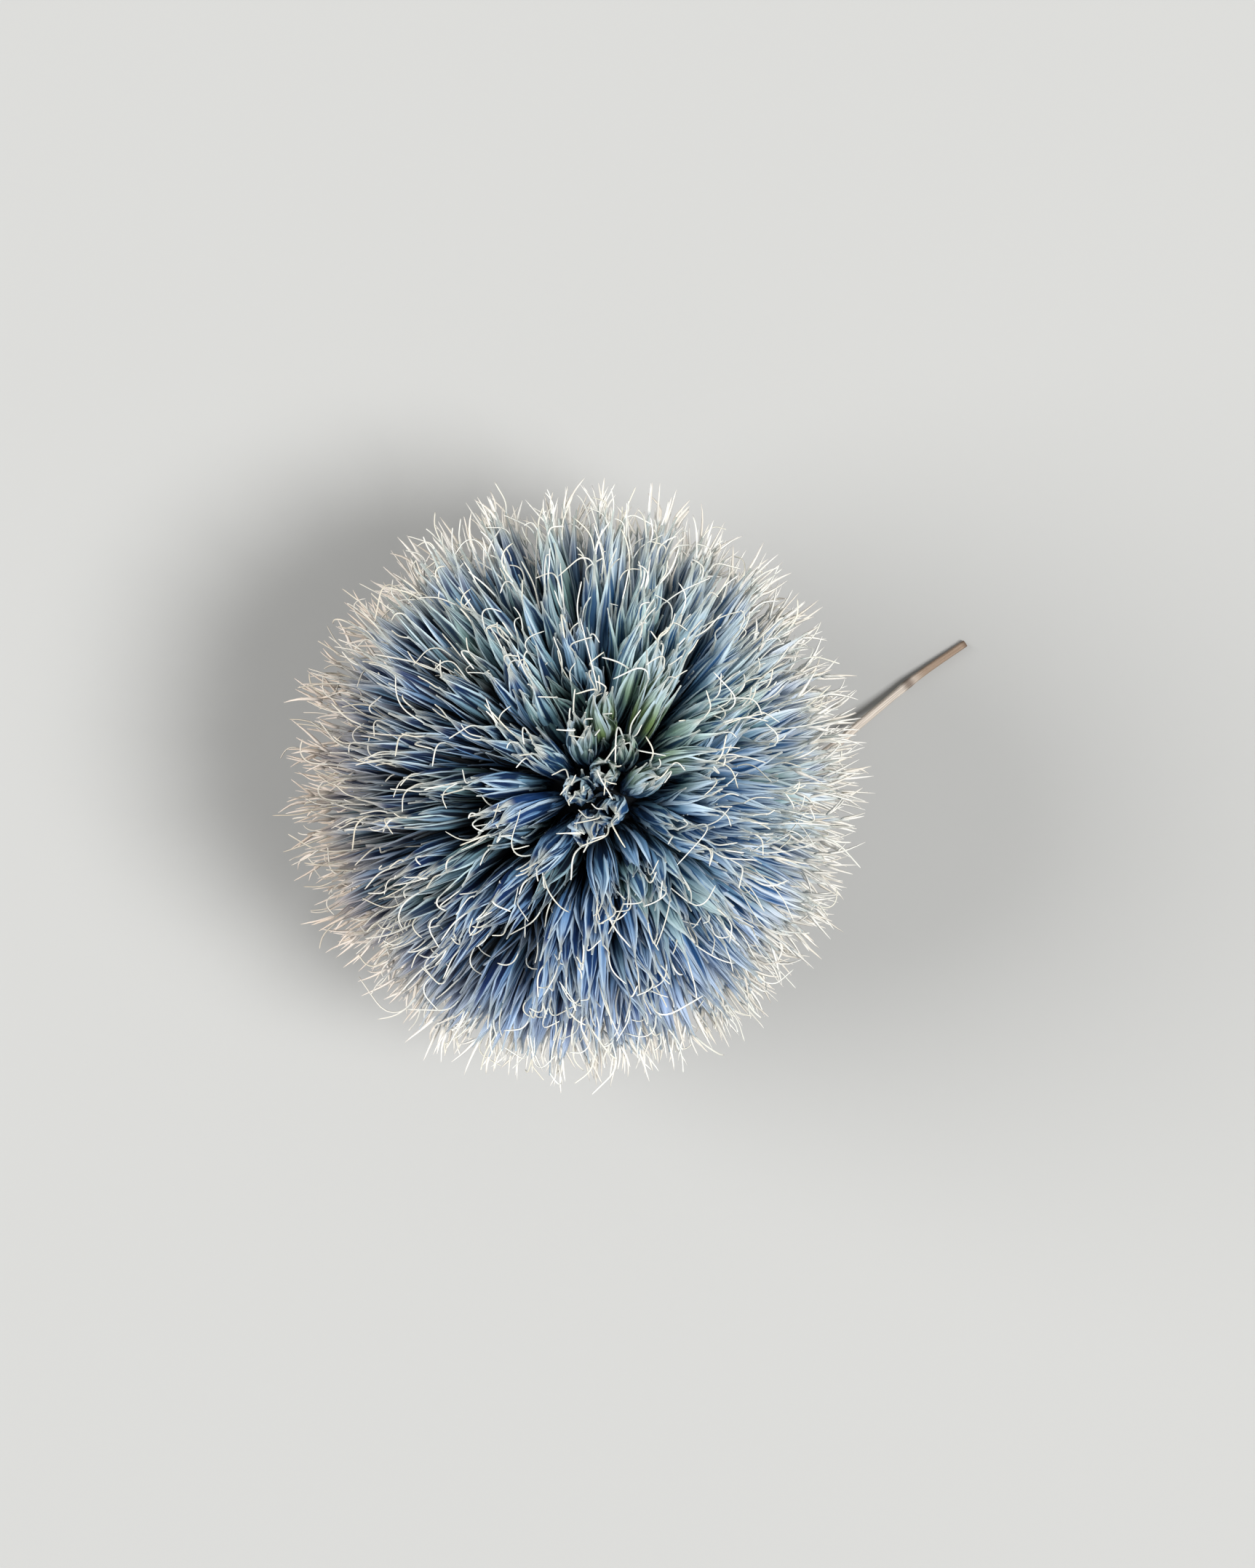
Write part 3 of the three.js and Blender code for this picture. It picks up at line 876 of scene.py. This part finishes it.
# A ball whose radius swells a little where each floret sits: the cosine to the nearest floret's line,
# raised to a high power.
def coreMesh():
    rings, sides = coreForm["rings"], coreForm["sides"]
    polar = np.linspace(coreForm["cap"], np.pi - coreForm["cap"], rings)[:, None]
    turn = (np.arange(sides) * 2 * np.pi / sides)[None, :]
    ones = np.ones_like(turn)
    way = np.stack([np.sin(polar) * np.cos(turn), np.sin(polar) * np.sin(turn), np.cos(polar) * ones], -1)
    nearest = np.max(way.reshape(-1, 3) @ floretLine.T, 1).reshape(rings, sides)
    radius = coreForm["radius"] + coreForm["knobs"] * (nearest ** coreForm["knobPower"] - 0.5)
    centre = headCentre + coreForm["shift"] * (np.array(headForm["rootCentre"]) - headCentre)
    points = (centre + way * radius[..., None])[None, ::-1]
    return tubesMesh("receptacle", points, turn / (2 * np.pi), polar / np.pi, {})


placePiece(coreMesh(), coreMaterial(), "receptacle", "flower_head")
print("receptacle made")


# A curve through points by the centripetal rule: between two points it is the cubic whose end slopes
# come from the neighbours, each step weighted by the square root of its length.
def smoothPath(points, samples):
    points = np.array(points)
    padded = np.vstack([2 * points[0] - points[1], points, 2 * points[-1] - points[-2]])
    position = np.linspace(0, len(points) - 1, samples)
    piece = np.minimum(position.astype(int), len(points) - 2)
    share = (position - piece)[:, None]
    before, start, end, after = (padded[piece + offset] for offset in range(4))
    step = [np.sqrt(np.linalg.norm(b - a, axis=1, keepdims=True))
            for a, b in ((before, start), (start, end), (end, after))]
    leave = (start - before) / step[0] - (end - before) / (step[0] + step[1]) + (end - start) / step[1]
    arrive = (end - start) / step[1] - (after - start) / (step[1] + step[2]) + (after - end) / step[2]
    leave, arrive = leave * step[1], arrive * step[1]
    square, cube = share**2, share**3
    return ((2 * cube - 3 * square + 1) * start + (cube - 2 * square + share) * leave
            + (3 * square - 2 * cube) * end + (cube - square) * arrive)


# Points at even distances along a line of points.
def evenly(line, count):
    run = np.concatenate([[0], np.cumsum(np.linalg.norm(np.diff(line, axis=0), axis=1))])
    wanted = np.linspace(0, run[-1], count)
    return np.stack([np.interp(wanted, run, line[:, axis]) for axis in range(3)], -1)


# The stalk's radius along its length: from root to tip by a power of the share, with a bell-shaped
# swelling at the leaf scar.
def stalkRadius(share):
    form = stalkForm
    plain = form["rootRadius"] + (form["tipRadius"] - form["rootRadius"]) * share ** form["taper"]
    swell = form["nodeSwell"] * np.exp(-(((share - form["nodeAt"]) / form["nodeLength"]) ** 2))
    return plain * (1 + swell)


# A ribbed tube along the stalk's route: the radius times one plus a cosine of the turn, and fine
# grooves.
def stalkMesh():
    form = stalkForm
    straight = [headCentre + stalkLine() * distance for distance in (form["seat"], *form["straight"])]
    bend = [(headCentre[0] + east, headCentre[1] + north, height) for east, north, height in form["bend"]]
    line = evenly(smoothPath(straight + bend, 600), form["rings"])
    tangent = unit(np.gradient(line, axis=0))
    first = unit(np.cross((0.0, 0.0, 1.0), tangent))
    second = np.cross(tangent, first)
    share = np.linspace(0, 1, form["rings"])[:, None]
    turn = (np.arange(form["sides"]) * 2 * np.pi / form["sides"])[None, :]
    grooves = form["ribHeight"] * np.cos(form["ribs"] * turn + 1.5 * share)
    grooves = grooves + form["grooveHeight"] * np.cos(form["grooves"] * turn - 3 * share)
    knots = form["knotHeight"] * np.sin(form["knots"] * share) * np.sin(2 * turn)
    radius = stalkRadius(share) * (1 + grooves + knots)
    points = (line[:, None] + first[:, None] * (radius * np.cos(turn))[..., None]
              + second[:, None] * (radius * np.sin(turn))[..., None])
    points[..., 2] = np.maximum(points[..., 2], 0.0)
    return tubesMesh("stalk", points[None], turn / (2 * np.pi), share, {})


placePiece(stalkMesh(), stalkMaterial(), "stalk", "stem")
print("stalk made")

studio = {
    "floor": colour(172, 172, 170),
    "floorSize": 6.0,
    "ambient": 0.36,
    "keyStrength": 3.15,
    "keySpread": 0.4,  # radians, the softness of its shadows
    "keyPlace": (0.24, -0.08, 0.46),
    "fillStrength": 2.55,
    "fillSpread": 0.8,
    "fillPlace": (-0.42, 0.04, 0.34),
}
lens = {
    "height": 0.420,  # above the middle of the head
    "offset": (4.12, 0.17),  # of the lens from the middle of the head, in millimetres
    "scale": 17.6,  # pixels to a millimetre at the middle of the head
    "pixels": (1725, 2156),
}


def addFloor():
    half = studio["floorSize"] / 2
    mesh = bpy.data.meshes.new("floor")
    corners = [(-half, -half, 0), (half, -half, 0), (half, half, 0), (-half, half, 0)]
    mesh.from_pydata(corners, [], [(0, 1, 2, 3)])
    bench = Bench("floor_paper")
    mesh.materials.append(bench.finish({"Base Color": studio["floor"], "Roughness": 0.85}))
    floor = bpy.data.objects.new("floor", mesh)
    bpy.context.scene.collection.objects.link(floor)


# A wide soft light that shines evenly over the floor, from the way that its place lies in.
def addLight(name, strength, spreadAngle, place):
    lamp = bpy.data.lights.new(name, "SUN")
    lamp.energy = strength
    lamp.angle = spreadAngle
    holder = bpy.data.objects.new(name, lamp)
    bpy.context.scene.collection.objects.link(holder)
    holder.location = place
    toHead = Vector((headCentre * mm).tolist()) - holder.location
    holder.rotation_euler = toHead.to_track_quat("-Z", "Y").to_euler()


# The sensor's long side covers the frame's long side, so the focal length is the sensor width times the
# height divided by what is seen there.
def addCamera():
    eye = bpy.data.cameras.new("camera")
    eye.sensor_width = 36.0
    seen = max(lens["pixels"]) / lens["scale"] * mm
    eye.lens = eye.sensor_width * lens["height"] / seen
    eye.clip_start = 0.01
    eye.clip_end = 10.0
    holder = bpy.data.objects.new("camera", eye)
    bpy.context.scene.collection.objects.link(holder)
    middle = headCentre * mm
    holder.location = (middle[0] + lens["offset"][0] * mm, middle[1] + lens["offset"][1] * mm,
                       middle[2] + lens["height"])
    bpy.context.scene.camera = holder


addFloor()
addLight("key", studio["keyStrength"], studio["keySpread"], studio["keyPlace"])
addLight("fill", studio["fillStrength"], studio["fillSpread"], studio["fillPlace"])
world = bpy.data.worlds.new("studio")
world.use_nodes = True
world.node_tree.nodes["Background"].inputs["Color"].default_value = (1.0, 1.0, 1.0, 1.0)
world.node_tree.nodes["Background"].inputs["Strength"].default_value = studio["ambient"]
bpy.context.scene.world = world
bpy.context.scene.view_settings.view_transform = "Standard"
addCamera()
print("floor, lights and camera placed")
